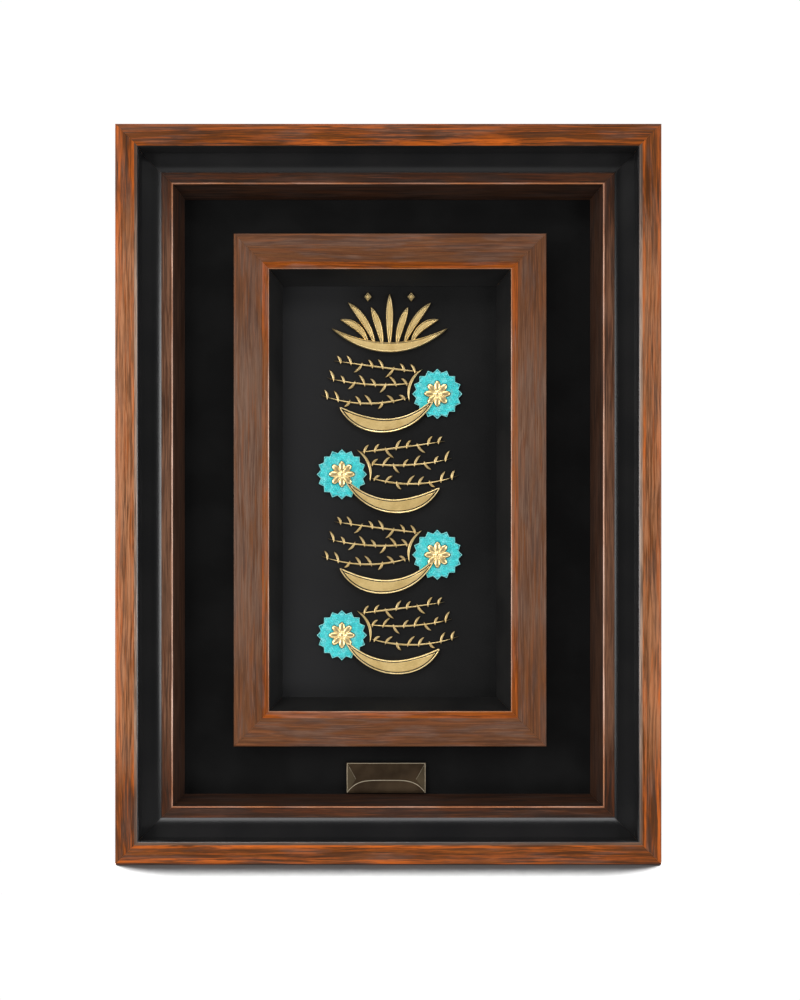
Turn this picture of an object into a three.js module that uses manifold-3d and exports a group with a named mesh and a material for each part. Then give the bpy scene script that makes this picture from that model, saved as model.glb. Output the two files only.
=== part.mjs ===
// A framed wall panel. A deep mitred moulding holds a black backing board. A smaller mitred frame stands on
// the board, and gilt strokes and four turquoise stars lie on the black field inside it.
// Millimetres, +Z up, the front looks along -Y. The origin is the middle of the hanger's back face.
import * as THREE from "three";
import { mergeVertices } from "three/addons/utils/BufferGeometryUtils.js";
import Module from "manifold-3d";

const wasm = await Module();
wasm.setup();

// Driving dimensions of the outer moulding. "In" is measured from a rail's outer edge towards the middle of
// the panel, and "up" from the back of the frame towards the viewer.
const frameWidth = 480;
const frameHeight = 650;
const frameDepth = 55;
const bandIn = 20.5;
const coveUp = 31;
const lipStartIn = 38.4;
const lipEndIn = 48.6;
const lipUp = 36;
const toeIn = 56.6;
const rebateIn = 50;
const rebateUp = 10;

// The smaller frame, which was fixed to the board slightly off centre, and the field inside it.
const innerWidth = 277.7;
const innerHeight = 455;
const innerDepth = 28;
const innerShift = 1.8;
const innerRise = 4.5;
const faceIn = 31.2;
const slopeEndIn = 42.2;
const fieldRebateIn = 34;
const fieldRebateUp = 3.3;

// Sheets and joints
const boardThickness = 4.9;
const fieldThickness = 3;
const gap = 0.3;
const mitreGap = 0.4;

// The relief, measured from the middle of the field
const rowCount = 4;
const rowPitch = 72.5;
const topRow = 88;
const starReach = 43;
const starRadius = 22.5;
const starPoints = 16;
const starUp = 2.2;
const flowerRadius = 12;
const flowerUp = 4.6;
const sweepUp = 4.2;
const sweepWidth = 12.5;
const strokeUp = 1.5;
const headingMiddle = 150;
const headingHalfWidth = 52;
const headingUp = 2.8;
const lozengeReach = 19.5;
const lozengeRise = 25.5;

// The small plate under the smaller frame
const plateWidth = 71.5;
const plateHeight = 27.5;
const plateThickness = 3.2;
const plateBevel = 1.6;
const plateDown = 253.7;
const plateShift = -1.3;

// The hanger on the back of the top rail, a bent steel strip whose middle stands clear of the wood
const hangerLength = 50;
const hangerHeight = 10;
const hangerSheet = 1;
const hangerLift = 1.2;
const bridgeHalf = 16;
const hangerDown = 22;
const toothPitch = 4;
const toothDepth = 1.5;
const nailReach = 21.5;
const nailRadius = 0.9;
const nailHeadRadius = 2.1;
const nailHeadUp = 0.6;
const nailLength = 12;
const hangerStandoff = gap + hangerLift + hangerSheet;

// Colours and finishes
const wood = new THREE.MeshStandardMaterial({ color: 0x7a4a30, roughness: 0.5, metalness: 0 });
const blackBoard = new THREE.MeshStandardMaterial({ color: 0x151515, roughness: 0.85, metalness: 0 });
const blackField = new THREE.MeshStandardMaterial({ color: 0x222222, roughness: 0.7, metalness: 0 });
const gilt = new THREE.MeshStandardMaterial({ color: 0xd8b25c, roughness: 0.35, metalness: 1 });
const turquoise = new THREE.MeshStandardMaterial({ color: 0x32cdd8, roughness: 0.4, metalness: 0 });
const bronze = new THREE.MeshStandardMaterial({ color: 0x2e2520, roughness: 0.25, metalness: 1 });
const zincSteel = new THREE.MeshStandardMaterial({ color: 0xa8abad, roughness: 0.4, metalness: 1 });

// Solids

function solidOf(geometry) {
  const bare = geometry.clone();
  bare.deleteAttribute("normal");
  bare.deleteAttribute("uv");
  const merged = mergeVertices(bare, 1e-4);
  return new wasm.Manifold(
    new wasm.Mesh({
      numProp: 3,
      vertProperties: new Float32Array(merged.attributes.position.array),
      triVerts: new Uint32Array(merged.index.array),
    }),
  );
}

function geometryOf(solid) {
  const mesh = solid.getMesh();
  const geometry = new THREE.BufferGeometry();
  geometry.setAttribute("position", new THREE.BufferAttribute(new Float32Array(mesh.vertProperties), 3));
  geometry.setIndex(new THREE.BufferAttribute(new Uint32Array(mesh.triVerts), 1));
  geometry.computeVertexNormals();
  return geometry;
}

function joined(solids) {
  return solids.reduce((whole, piece) => whole.add(piece));
}

// A flat outline made into a solid that reaches from one height to another
function plateSolid(shape, from, to) {
  const geometry = new THREE.ExtrudeGeometry(shape, { depth: to - from, bevelEnabled: false });
  geometry.translate(0, 0, from);
  return solidOf(geometry);
}

function vectors(points) {
  return points.map((point) => new THREE.Vector2(...point));
}

// An outline round a centre, whose radius follows a rule
function polarShape(count, radiusAt, [x, y] = [0, 0]) {
  const points = [];
  for (let i = 0; i < count; i++) {
    const angle = (i / count) * 2 * Math.PI;
    const radius = radiusAt(angle, i);
    points.push([x + radius * Math.cos(angle), y + radius * Math.sin(angle)]);
  }
  return new THREE.Shape(vectors(points));
}

// Mitred frames

// A profile drawn as (in, up) becomes the lower rail of a frame. Each end is cut back by as much as the
// profile lies in from the edge, which is a mitre of 45 degrees.
function railGeometry(profile, length, span) {
  const geometry = new THREE.ExtrudeGeometry(profile, { depth: 1, bevelEnabled: false, curveSegments: 4 });
  const position = geometry.attributes.position;
  for (let i = 0; i < position.count; i++) {
    const inward = position.getX(i);
    const up = position.getY(i);
    const end = position.getZ(i) > 0.5 ? 1 : -1;
    position.setXYZ(i, end * (length / 2 - inward - mitreGap / 2), inward - span / 2, up);
  }
  geometry.computeVertexNormals();
  return geometry;
}

// The four rails, each a quarter turn on from the one before
function mitredFrame(prefix, profile, width, height) {
  return ["bottom", "right", "top", "left"].map((side, turns) => {
    const lying = turns % 2 === 0;
    const geometry = railGeometry(profile, lying ? width : height, lying ? height : width);
    const rail = new THREE.Mesh(geometry, wood);
    rail.name = `${prefix}_${side}`;
    rail.rotation.z = turns * (Math.PI / 2);
    return rail;
  });
}

// A crowned wood band, a steep drop into a cove, a narrow lip, and a wall that slopes in to the board
function outerProfile() {
  const shoulderUp = frameDepth - 4;
  const crownUp = frameDepth - 0.6;
  const round = 3.5;
  const coveRound = 6.5;
  const coveSideUp = coveUp + 9;
  const lipRound = 1.2;
  const toeUp = rebateUp + 0.8;
  const profile = new THREE.Shape();
  profile.moveTo(0, 0);
  profile.lineTo(rebateIn, 0);
  profile.lineTo(rebateIn, rebateUp);
  profile.lineTo(toeIn, rebateUp);
  profile.lineTo(toeIn, toeUp);
  profile.lineTo(lipEndIn, lipUp - 1.5 * lipRound);
  profile.quadraticCurveTo(lipEndIn, lipUp - lipRound / 2, lipEndIn - lipRound, lipUp - lipRound / 2);
  profile.lineTo(lipStartIn + lipRound, lipUp);
  profile.lineTo(lipStartIn, lipUp - lipRound);
  profile.quadraticCurveTo(lipStartIn, coveUp, lipStartIn - coveRound, coveUp);
  profile.lineTo(bandIn + coveRound, coveUp);
  profile.quadraticCurveTo(bandIn, coveUp, bandIn, coveSideUp);
  profile.lineTo(bandIn, shoulderUp);
  profile.quadraticCurveTo(bandIn, crownUp, bandIn - round, crownUp);
  profile.quadraticCurveTo(bandIn / 2, 2 * frameDepth - crownUp, round, crownUp);
  profile.quadraticCurveTo(0, crownUp, 0, shoulderUp);
  return profile;
}

// A flat face with a canted edge at the opening, and a wall that slopes in to the field
function innerProfile() {
  const cantWidth = 6;
  const cantDrop = 1.6;
  const arris = 0.8;
  const chamfer = 1.3;
  const profile = new THREE.Shape();
  profile.moveTo(0, 0);
  profile.lineTo(fieldRebateIn, 0);
  profile.lineTo(fieldRebateIn, fieldRebateUp);
  profile.lineTo(slopeEndIn, fieldRebateUp);
  profile.lineTo(slopeEndIn, fieldRebateUp + arris);
  profile.lineTo(faceIn, innerDepth - cantDrop - arris);
  profile.lineTo(faceIn - arris, innerDepth - cantDrop);
  profile.lineTo(faceIn - cantWidth, innerDepth);
  profile.lineTo(chamfer, innerDepth);
  profile.lineTo(0, innerDepth - chamfer);
  return profile;
}

// Strokes

// A bow from one point to another, whose middle stands off the straight line to the left of its way
function bowed(from, to, bow) {
  const start = new THREE.Vector2(...from);
  const end = new THREE.Vector2(...to);
  const along = end.clone().sub(start).normalize();
  const middle = start.clone().lerp(end, 0.5);
  middle.add(new THREE.Vector2(-along.y, along.x).multiplyScalar(2 * bow));
  return new THREE.QuadraticBezierCurve(start, middle, end);
}

// Half the width of a stroke at a share t of its length: nothing at both ends, and most at the peak
function halfWidth(t, width, peak) {
  const fullness = 0.7;
  const rise = t < peak ? t / peak : (1 - t) / (1 - peak);
  return (width / 2) * Math.sin((rise * Math.PI) / 2) ** fullness;
}

// The outline of a pen stroke along a curve
function strokeShape(curve, width, peak, steps) {
  const left = [];
  const right = [];
  for (let i = 1; i < steps; i++) {
    const t = i / steps;
    const point = curve.getPoint(t);
    const tangent = curve.getTangent(t);
    const across = new THREE.Vector2(-tangent.y, tangent.x).multiplyScalar(halfWidth(t, width, peak));
    left.unshift(point.clone().add(across));
    right.push(point.clone().sub(across));
  }
  return new THREE.Shape([curve.getPoint(0), ...right, curve.getPoint(1), ...left]);
}

// Rows of the relief

// The star stands at the right in one row and at the left in the next. "Away" runs from the star towards
// the far end of its row.
function rowPlace(row) {
  const side = row % 2 === 0 ? 1 : -1;
  const star = new THREE.Vector2(side * starReach, topRow - row * rowPitch);
  return { side, star, at: ([away, up]) => [star.x - side * away, star.y + up] };
}

function starShape(radius) {
  const notch = 0.86;
  return polarShape(2 * starPoints, (angle, i) => (i % 2 === 0 ? radius : radius * notch));
}

// A low rim round a raised middle
function starSolid() {
  const rimWidth = 1.6;
  const rimUp = 1.5;
  const rim = plateSolid(starShape(starRadius), 0, rimUp);
  return rim.add(plateSolid(starShape(starRadius - rimWidth), rimUp / 2, starUp));
}

// Petals round a waist circle
function flowerShape({ x, y }) {
  const petals = 8;
  const waist = 7.5;
  const petal = (angle) => waist + (flowerRadius - waist) * Math.abs(Math.cos((petals / 2) * angle));
  return polarShape(4 * petals, petal, [x, y]);
}

// The broad stroke that leaves each star: a bowed leaf with a raised middle, which ends in an
// eight-petalled flower where it lies on the star. The star's own space is cut out of it.
function sweepSolid({ star, at }) {
  const rimWidth = 1.5;
  const rimUp = sweepUp - 0.7;
  const peak = 0.66;
  const steps = 12;
  const route = [
    [2, -3],
    [22, -33],
    [62, -38],
    [88, -12],
  ];
  const curve = new THREE.CubicBezierCurve(...vectors(route.map(at)));
  const leaf = plateSolid(strokeShape(curve, sweepWidth, peak, steps), 0, rimUp);
  const middle = plateSolid(strokeShape(curve, sweepWidth - 2 * rimWidth, peak, steps), rimUp / 2, sweepUp);
  const flower = plateSolid(flowerShape(star), starUp, flowerUp);
  const starSpace = plateSolid(starShape(starRadius + gap), -gap, starUp + gap).translate([star.x, star.y, 0]);
  return joined([leaf, middle, flower]).subtract(starSpace);
}

// The fine strokes above each broad one: a stem that hugs the star, three hairlines that leave it one above
// another, and short bowed strokes across each hairline. None of them is a letter.
function fineStrokes({ side, at }) {
  const hairlines = 3;
  const ticks = 8;
  const linePitch = 15.5;
  const lowestTurn = -0.12;
  const turnPitch = 0.5;
  const pastLine = 0.14;
  const shortest = 5;
  const longest = 10;
  const tail = 2.6;
  const goldenShare = 0.618;
  const solids = [];
  const add = (curve, width, peak, steps) => {
    solids.push(plateSolid(strokeShape(curve, width, peak, steps), 0, strokeUp));
  };
  const stemReach = starRadius + 3.5;
  const onStem = (turn) => at([stemReach * Math.cos(turn), stemReach * Math.sin(turn)]);
  const highestTurn = lowestTurn + turnPitch * (hairlines - 1);
  const halfTurn = (highestTurn - lowestTurn) / 2 + pastLine;
  const stemBow = side * stemReach * (1 - Math.cos(halfTurn));
  add(bowed(onStem(lowestTurn - pastLine), onStem(highestTurn + pastLine), stemBow), 2.6, 0.5, 8);
  for (let line = 0; line < hairlines; line++) {
    const end = at([105 - 6 * line, linePitch * line - 1]);
    const hairline = bowed(onStem(lowestTurn + turnPitch * line), end, side * (6.5 - 3 * line));
    add(hairline, 1.7, 0.3, ticks);
    for (let tick = 0; tick < ticks; tick++) {
      const t = (tick + 0.5) / ticks;
      const foot = hairline.getPoint(t);
      const turn = (tick % 3 === 2 ? 1 : -1) * side;
      const lean = hairline.getTangent(t).rotateAround(new THREE.Vector2(), turn);
      const share = (goldenShare * (tick + line * goldenShare)) % 1;
      const room = Math.min(1, 0.4 + 2 * t);
      const reach = shortest + (longest - shortest) * share * room;
      const from = foot.clone().addScaledVector(lean, -tail);
      const to = foot.clone().addScaledVector(lean, reach);
      add(bowed(from.toArray(), to.toArray(), 1.3 * turn), 2.3, 0.5, 3);
    }
  }
  return joined(solids);
}

// The height of the heading's boat-shaped stroke, where its leaf strokes stand
const boatEnd = -3;
const boatSag = 17;
function boatHeight(x) {
  return boatEnd - boatSag * (1 - (x / headingHalfWidth) ** 2);
}

// The heading: a fan of leaf strokes, tall and short by turns, on a boat-shaped one
function headingSolid() {
  const boatWidth = 9;
  const leafPairs = 3;
  const leafWidth = 6.4;
  const tall = 48;
  const short = 38;
  const footReach = 19;
  const widestTurn = 0.84;
  const stroke = (curve, width, peak, steps, up) => plateSolid(strokeShape(curve, width, peak, steps), 0, up);
  const boat = bowed([-headingHalfWidth, boatEnd], [headingHalfWidth, boatEnd], -boatSag);
  const solids = [stroke(boat, boatWidth, 0.5, 15, headingUp)];
  for (let i = -leafPairs; i <= leafPairs; i++) {
    const spread = i / leafPairs;
    const turn = widestTurn * spread;
    const length = (i % 2 === 0 ? tall : short) - 4 * spread ** 2;
    const [x, y] = [footReach * spread, boatHeight(footReach * spread)];
    const leaf = bowed([x, y], [x + length * Math.sin(turn), y + length * Math.cos(turn)], 5 * spread);
    solids.push(stroke(leaf, leafWidth, 0.62, 8, headingUp - 0.4));
  }
  return joined(solids);
}

// A small gilt lozenge
function lozengeGeometry() {
  const half = 3.4;
  const shape = polarShape(4, (angle, i) => (i % 2 === 0 ? half : 1.2 * half));
  return new THREE.ExtrudeGeometry(shape, { depth: headingUp - 0.6, bevelEnabled: false });
}

// Hanger

// The strip seen from above: two tabs on the wood and a raised bridge between them, with teeth along the
// bridge's lower edge and a nail hole in each tab
function hangerSolid() {
  const bendRun = 2;
  const tabUp = -gap - hangerSheet / 2;
  const bridgeUp = tabUp - hangerLift;
  const line = [
    [-hangerLength / 2, tabUp],
    [-bridgeHalf - bendRun, tabUp],
    [-bridgeHalf, bridgeUp],
    [bridgeHalf, bridgeUp],
    [bridgeHalf + bendRun, tabUp],
    [hangerLength / 2, tabUp],
  ];
  const lower = vectors(line.map(([x, up]) => [x, up - hangerSheet / 2]));
  const upper = vectors(line.map(([x, up]) => [x, up + hangerSheet / 2]));
  const outline = new THREE.Shape([...lower, ...upper.reverse()]);
  const strip = new THREE.ExtrudeGeometry(outline, { depth: hangerHeight, bevelEnabled: false });
  strip.translate(0, 0, -hangerHeight / 2).rotateX(Math.PI / 2);
  const past = 1;
  const cutters = nailHoles(0, -hangerStandoff - past, past);
  for (let x = -bridgeHalf + toothPitch; x <= bridgeHalf - toothPitch; x += toothPitch) {
    const low = -hangerHeight / 2;
    const notch = [
      [x - 0.4 * toothPitch, low - past],
      [x + 0.4 * toothPitch, low - past],
      [x, low + toothDepth],
    ];
    cutters.push(plateSolid(new THREE.Shape(vectors(notch)), -hangerStandoff - past, past));
  }
  return solidOf(strip).subtract(joined(cutters));
}

function nailHoles(y, from, to) {
  const sides = 8;
  const hole = (x) => plateSolid(polarShape(sides, () => nailRadius + gap, [x, y]), from, to);
  return [-nailReach, nailReach].map(hole);
}

// A nail whose head lies on the tab and whose shank runs into the wood
function nailGeometry() {
  const sides = 8;
  const point = 2;
  const headBack = -2 * gap - hangerSheet - nailHeadUp;
  const profile = [
    [0, headBack],
    [nailHeadRadius, headBack],
    [nailHeadRadius, headBack + nailHeadUp],
    [nailRadius, headBack + nailHeadUp],
    [nailRadius, nailLength - point],
    [0, nailLength],
  ];
  return new THREE.LatheGeometry(vectors(profile), sides).rotateX(Math.PI / 2);
}

// A plate whose front edges are bevelled
function bevelledPlate() {
  const geometry = new THREE.BoxGeometry(plateWidth, plateHeight, plateThickness, 1, 1, 2);
  const position = geometry.attributes.position;
  for (let i = 0; i < position.count; i++) {
    if (position.getZ(i) < plateThickness / 4) continue;
    position.setX(i, position.getX(i) * (1 - (2 * plateBevel) / plateWidth));
    position.setY(i, position.getY(i) * (1 - (2 * plateBevel) / plateHeight));
  }
  geometry.computeVertexNormals();
  return geometry;
}

// Assembly. Everything is placed in front space: x to the right, y up, z from the back of the frame to the
// viewer, with the middle of the frame as its origin.

const panel = new THREE.Group();
const front = new THREE.Group();
front.rotation.x = Math.PI / 2;
front.position.set(0, -hangerStandoff, hangerDown - frameHeight / 2);
panel.add(front);

function place(parent, name, geometry, material, [x, y, z] = [0, 0, 0]) {
  const mesh = new THREE.Mesh(geometry, material);
  mesh.name = name;
  mesh.position.set(x, y, z);
  parent.add(mesh);
}

// Outer moulding, with two nail holes in the back of the top rail. The rail is still upside down here, as
// its quarter turns come later.
const outerRails = mitredFrame("outer_rail", outerProfile(), frameWidth, frameHeight);
const topRail = outerRails.find((rail) => rail.name.endsWith("top"));
const railHoles = nailHoles(hangerDown - frameHeight / 2, -1, nailLength + gap);
topRail.geometry = geometryOf(solidOf(topRail.geometry).subtract(joined(railHoles)));
front.add(...outerRails);

// Backing board
const boardInset = 2 * (rebateIn + gap);
place(
  front,
  "backing_board",
  new THREE.BoxGeometry(frameWidth - boardInset, frameHeight - boardInset, boardThickness),
  blackBoard,
  [0, 0, rebateUp - gap - boardThickness / 2],
);

// Smaller frame and its field
const inner = new THREE.Group();
inner.position.set(innerShift, innerRise, rebateUp);
front.add(inner);
inner.add(...mitredFrame("inner_rail", innerProfile(), innerWidth, innerHeight));
const fieldInset = 2 * (fieldRebateIn + gap);
place(
  inner,
  "inner_field",
  new THREE.BoxGeometry(innerWidth - fieldInset, innerHeight - fieldInset, fieldThickness),
  blackField,
  [0, 0, fieldThickness / 2],
);

// Relief
const relief = new THREE.Group();
relief.position.z = fieldThickness + gap;
inner.add(relief);
for (let row = 0; row < rowCount; row++) {
  const rowAt = rowPlace(row);
  place(relief, `star_${row + 1}`, geometryOf(starSolid()), turquoise, [rowAt.star.x, rowAt.star.y, 0]);
  place(relief, `sweep_${row + 1}`, geometryOf(sweepSolid(rowAt)), gilt);
  place(relief, `fine_strokes_${row + 1}`, geometryOf(fineStrokes(rowAt)), gilt);
}
place(relief, "heading_strokes", geometryOf(headingSolid()), gilt, [0, headingMiddle, 0]);
place(relief, "heading_lozenge_left", lozengeGeometry(), gilt, [-lozengeReach, headingMiddle + lozengeRise, 0]);
place(relief, "heading_lozenge_right", lozengeGeometry(), gilt, [lozengeReach, headingMiddle + lozengeRise, 0]);

// Small plate
place(front, "name_plate", bevelledPlate(), bronze, [plateShift, -plateDown, rebateUp + plateThickness / 2]);

// Hanger and its nails
const hangerAt = frameHeight / 2 - hangerDown;
place(front, "hanger", geometryOf(hangerSolid()), zincSteel, [0, hangerAt, 0]);
place(front, "hanger_nail_left", nailGeometry(), zincSteel, [-nailReach, hangerAt, 0]);
place(front, "hanger_nail_right", nailGeometry(), zincSteel, [nailReach, hangerAt, 0]);

export default panel;
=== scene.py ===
# %% [markdown]
# # A framed relief panel
#
# The panel is a deep wooden moulding round a black board. A smaller wooden frame stands on the board,
# and gilt strokes and four turquoise stars lie in the recess inside it. The fixed solids are loaded
# first, and give every place and size that a finer piece needs.

# %% Load the fixed frame
import math
import random

import bpy
from mathutils import Matrix, Vector


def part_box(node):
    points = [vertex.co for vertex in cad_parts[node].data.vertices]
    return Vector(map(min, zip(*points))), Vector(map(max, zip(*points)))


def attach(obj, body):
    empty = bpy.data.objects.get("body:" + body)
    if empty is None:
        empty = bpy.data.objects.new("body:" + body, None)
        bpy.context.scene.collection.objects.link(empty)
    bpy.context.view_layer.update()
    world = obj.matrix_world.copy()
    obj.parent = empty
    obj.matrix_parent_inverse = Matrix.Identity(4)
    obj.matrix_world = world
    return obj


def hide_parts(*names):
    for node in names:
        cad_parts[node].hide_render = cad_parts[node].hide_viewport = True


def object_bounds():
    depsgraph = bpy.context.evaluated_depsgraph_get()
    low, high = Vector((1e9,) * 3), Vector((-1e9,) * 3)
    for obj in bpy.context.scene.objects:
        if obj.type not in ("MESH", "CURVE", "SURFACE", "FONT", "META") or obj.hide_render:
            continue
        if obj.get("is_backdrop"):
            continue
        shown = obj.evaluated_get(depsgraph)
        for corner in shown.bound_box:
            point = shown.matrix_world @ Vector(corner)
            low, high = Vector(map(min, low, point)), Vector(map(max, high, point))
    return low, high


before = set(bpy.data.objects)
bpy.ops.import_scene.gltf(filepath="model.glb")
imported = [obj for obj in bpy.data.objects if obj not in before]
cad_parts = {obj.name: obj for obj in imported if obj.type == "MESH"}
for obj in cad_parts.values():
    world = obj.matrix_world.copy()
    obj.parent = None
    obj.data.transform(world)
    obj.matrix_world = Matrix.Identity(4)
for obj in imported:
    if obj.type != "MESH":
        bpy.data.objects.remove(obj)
cad_low, cad_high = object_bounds()
print("nodes:", len(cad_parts), "box in m:", [round(s, 4) for s in cad_high - cad_low])

# %% [markdown]
# ## Front space
#
# A framer works with the panel flat on the bench: x to the right, y up the panel, and "up" from its
# back towards the viewer. Meshes are drawn that way here, and one matrix stands them up. The back plane
# and the middle come from the solids. Sizes are written in millimetres.

# %% Front space
MM = 0.001
back_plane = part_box("outer_rail_top")[1].y
panel_middle = (cad_low.z + cad_high.z) / 2
FRONT = Matrix.Translation((0, back_plane, panel_middle)) @ Matrix.Rotation(math.pi / 2, 4, "X")
TO_FRONT = FRONT.inverted()


def box_in_front(node):
    """The lowest and highest corner of a CAD node, in front space and millimetres."""
    corners = [TO_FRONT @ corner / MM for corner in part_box(node)]
    low = Vector(min(c[i] for c in corners) for i in range(3))
    high = Vector(max(c[i] for c in corners) for i in range(3))
    return low, high


def shifted(matrix, x, y, up=0):
    """The matrix moved by millimetres along its own axes."""
    return matrix @ Matrix.Translation((x * MM, y * MM, up * MM))


def in_scene(name, data):
    thing = bpy.data.objects.new(name, data)
    bpy.context.scene.collection.objects.link(thing)
    return thing


print("back plane at", round(back_plane, 4), "and middle at", round(panel_middle, 4))

# %% [markdown]
# ## Shader maths that reads like a formula
#
# A finish is a formula over the surface, such as "dark grain where this noise is low". Wiring it by
# hand hides the formula, so a small class wraps a socket and lets Python's operators add the Math
# nodes. One method adds any other node: its type, its settings, and what its sockets get.


# %% Sockets and paints
class Value:
    """An output of a node. Operators on it add Math nodes."""

    def __init__(self, paint, socket):
        self.paint = paint
        self.socket = socket

    def math(self, operation, *values):
        return self.paint.add("Math", {"operation": operation}, dict(enumerate(values)))

    def __add__(self, other):
        return self.math("ADD", self, other)

    def __radd__(self, other):
        return self.math("ADD", other, self)

    def __sub__(self, other):
        return self.math("SUBTRACT", self, other)

    def __rsub__(self, other):
        return self.math("SUBTRACT", other, self)

    def __mul__(self, other):
        return self.math("MULTIPLY", self, other)

    def __rmul__(self, other):
        return self.math("MULTIPLY", other, self)

    def absolute(self):
        return self.math("ABSOLUTE", self)

    def between(self, low, high):
        """A soft mask: 0 below low, 1 above high."""
        settings = {"interpolation_type": "SMOOTHSTEP"}
        return self.paint.add("MapRange", settings, {"Value": self, "From Min": low, "From Max": high})

    def stretched(self, x, y, z):
        """A place scaled along its axes. The pattern draws out along the smallest of them."""
        return self.paint.add("VectorMath", {"operation": "MULTIPLY"}, {0: self, 1: (x, y, z)})

    def moved(self, step):
        return self.paint.add("VectorMath", {"operation": "ADD"}, {0: self, 1: step})


class Paint:
    """The nodes of a material or a world, and the one method that adds to them."""

    def __init__(self, owner):
        owner.use_nodes = True
        self.owner = owner
        self.tree = owner.node_tree
        self.tree.nodes.clear()

    def add(self, kind, settings=None, values=None, output=0):
        node = self.tree.nodes.new("ShaderNode" + kind)
        for name, setting in (settings or {}).items():
            setattr(node, name, setting)
        for key, value in (values or {}).items():
            if isinstance(value, Value):
                self.tree.links.new(value.socket, node.inputs[key])
            else:
                node.inputs[key].default_value = value
        return Value(self, node.outputs[output]) if len(node.outputs) else None

    def axes(self, vector):
        node = self.add("SeparateXYZ", values={0: vector}).socket.node
        return [Value(self, output) for output in node.outputs]

    def noise(self, place, scale=1.0, detail=3.0, roughness=0.5, distortion=0.0):
        names = ("Vector", "Scale", "Detail", "Roughness", "Distortion")
        values = (place, scale, detail, roughness, distortion)
        return self.add("TexNoise", values=dict(zip(names, values)))

    def mix(self, share, first, second):
        return self.add("Mix", {"data_type": "RGBA"}, {0: share, 6: first, 7: second}, output=2)

    def bump(self, height, distance, strength=1.0):
        return self.add("Bump", values={"Height": height, "Distance": distance, "Strength": strength})

    def finish(self, colour, roughness, bump=None, **others):
        """Adds the surface shader. An underscore in a socket's name stands for a space."""
        sockets = {name.replace("_", " "): value for name, value in others.items()}
        sockets.update({"Base Color": colour, "Roughness": roughness})
        if bump:
            sockets["Normal"] = bump
        shader = self.add("BsdfPrincipled", values=sockets)
        self.add("OutputMaterial", values={"Surface": shader})
        return self.owner


def new_paint(name):
    """A new material, and the place on the surface that its formula starts from."""
    paint = Paint(bpy.data.materials.new(name))
    return paint, paint.add("TexCoord", output="Object")


def speckled(name, first, second, scale, detail, grain, mask, roughness, metallic=0.0):
    """A plain finish with fine specks of a second colour, a little rougher."""
    paint, place = new_paint(name)
    speck = paint.noise(place, scale=scale, detail=detail, roughness=grain)
    colour = paint.mix(speck.between(*mask), first, second)
    base, spread = roughness
    return paint.finish(colour, base + speck * spread, Metallic=metallic)


def tone(red, green, blue):
    """A colour as a screen shows it, 0 to 255, in the linear values that a shader takes."""
    shown = (red / 255, green / 255, blue / 255)
    linear = [c / 12.92 if c <= 0.04045 else ((c + 0.055) / 1.055) ** 2.4 for c in shown]
    return (*linear, 1.0)


print("a mid brown in linear values:", [round(c, 3) for c in tone(120, 80, 55)])

# %% [markdown]
# ## Camera
#
# The panel was seen square on, from a little left of its middle and below it. The opening behind the
# lip and the sides of the recess show how far away: about 1.4 m. The camera looks straight along +Y,
# and a small shift of the lens puts the panel where it stands in the picture.

# %% Camera
view_distance = 1.400
view_left = -0.02485
view_drop = 0.0842
metres_per_pixel = 0.00087575
image_height = 1000
image_width = 800
sensor = 36.0
axis_column = 360
axis_row = 590

optics = bpy.data.cameras.new("camera")
optics.sensor_fit = "AUTO"
optics.sensor_width = sensor
optics.lens = sensor * view_distance / (metres_per_pixel * image_height)
optics.shift_x = (image_width / 2 - axis_column) / image_height
optics.shift_y = (axis_row - image_height / 2) / image_height
optics.clip_end = 50
camera = in_scene("camera", optics)
camera.location = (view_left, cad_low.y - view_distance, panel_middle - view_drop)
camera.rotation_euler = (math.pi / 2, 0, 0)
bpy.context.scene.camera = camera
print("lens in mm:", round(optics.lens, 2), "shift:", optics.shift_x, optics.shift_y)

# %% [markdown]
# ## Studio
#
# The panel stands in a dim room, so that black stays black, and soft boxes at both sides and above
# light it. The lacquered hollows mirror two more lamps: a dim one high in front, which gives the top
# hollow its faint shine, and a low one for the bright line in the bottom hollow. Behind the panel the
# room is white.
#
# The floor is a short strip that ends under the panel. It throws no light back and isn't mirrored. A
# steep light that reaches nothing else makes it plain white, and is so wide that the shadow at the
# panel's foot fades before the corners.

# %% Studio light and floor
scene = bpy.context.scene
scene.view_settings.view_transform = "Standard"
scene.view_settings.look = "None"

front_room = 0.10
back_room = 0.80
seen_white = 1.02

scene.world = bpy.data.worlds.new("studio")
room = Paint(scene.world)
_, towards_back, _ = room.axes(room.add("TexCoord", output="Generated"))
lighting = towards_back.between(-0.1, 0.6) * (back_room - front_room) + front_room
seen = room.add("LightPath", output="Is Camera Ray")
strength = lighting + seen * (seen_white - lighting)
glow = room.add("Background", values={"Color": (1, 1, 1, 1), "Strength": strength})
room.add("OutputWorld", values={"Surface": glow})


def softbox(name, place, width, height, watts, colour=(1, 1, 1), aim=(0, cad_low.y, 0)):
    """A lamp that the camera doesn't see. The heights in place and aim start at the panel's middle."""
    data = bpy.data.lights.new(name, "AREA")
    data.shape = "RECTANGLE"
    data.size = width
    data.size_y = height
    data.energy = watts
    data.color = colour
    lamp = in_scene(name, data)
    lamp.location = (place[0], place[1], panel_middle + place[2])
    lamp.rotation_euler = (Vector(aim) - Vector(place)).to_track_quat("-Z", "Y").to_euler()
    lamp.visible_camera = False


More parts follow.
